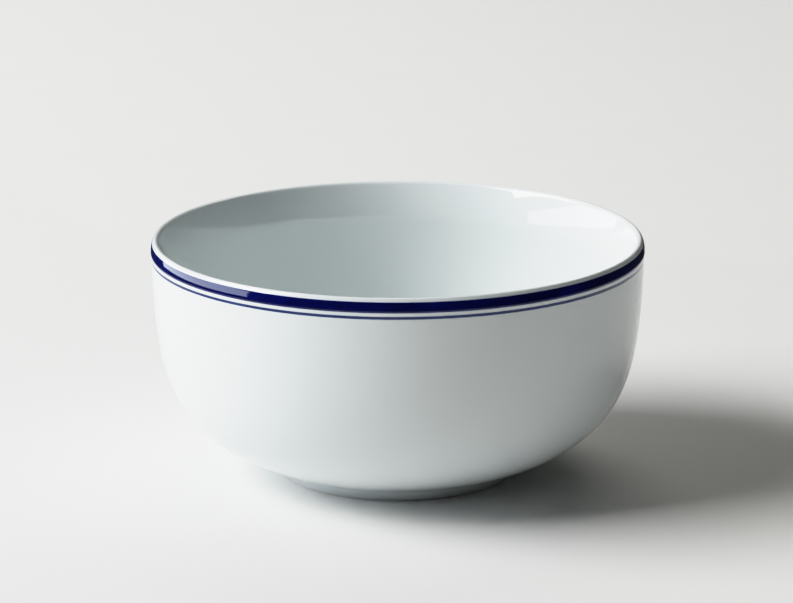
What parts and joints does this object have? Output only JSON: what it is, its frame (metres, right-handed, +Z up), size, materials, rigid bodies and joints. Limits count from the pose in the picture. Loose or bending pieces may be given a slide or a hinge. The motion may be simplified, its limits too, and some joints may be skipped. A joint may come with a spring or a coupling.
{
  "type": "serving bowl",
  "caption": "Deep round porcelain bowl with steep sides on a low foot ring, glazed white with a blue band and line under the lip, for serving food at the table.",
  "frame": {"origin": "on the bowl's axis, level with the bearing face of the foot ring", "axes": "+Z up along the bowl's axis of revolution; +X and +Y are alike"},
  "size_m": [0.23, 0.23, 0.112],
  "materials": {
    "fired_clay": "smooth matt fired porcelain clay",
    "clear_glaze": "clear high-gloss glaze over white porcelain",
    "cobalt": "glossy cobalt blue sunk into the glaze"
  },
  "bodies": {
    "root": {"porcelain_body": "fired_clay", "foot_ring": "fired_clay", "glaze_coat": "clear_glaze", "base_glaze": "clear_glaze", "wide_band": "cobalt", "fine_line": "cobalt"}
  },
  "joints": []
}
